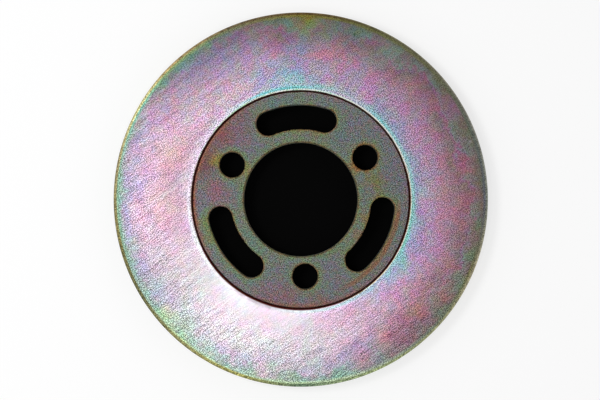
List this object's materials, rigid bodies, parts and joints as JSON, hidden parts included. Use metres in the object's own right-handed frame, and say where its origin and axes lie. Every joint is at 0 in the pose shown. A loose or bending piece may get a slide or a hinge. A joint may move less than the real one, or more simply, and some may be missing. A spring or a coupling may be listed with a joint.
{
  "type": "brake disc rotor",
  "caption": "Flat steel brake disc: a ground brake ring carried by a hub plate with a central bore, bolt holes and curved slots.",
  "frame": {"origin": "centre of the hub plate's rear face, where the wheel hub seats", "axes": "+Z along the rotor's axis, out of its front face; +Y through the middle of one curved slot"},
  "size_m": [0.1524, 0.1524, 0.0088],
  "materials": {
    "ground_zinc": "ground, zinc plated, yellow iridescent chromate",
    "dull_zinc": "dull, zinc plated, yellow iridescent chromate",
    "screw_zinc": "zinc plated, yellow chromate"
  },
  "bodies": {
    "root": {"brake_ring": "ground_zinc", "hub_plate": "dull_zinc", "flange_screws": "screw_zinc"}
  },
  "joints": []
}
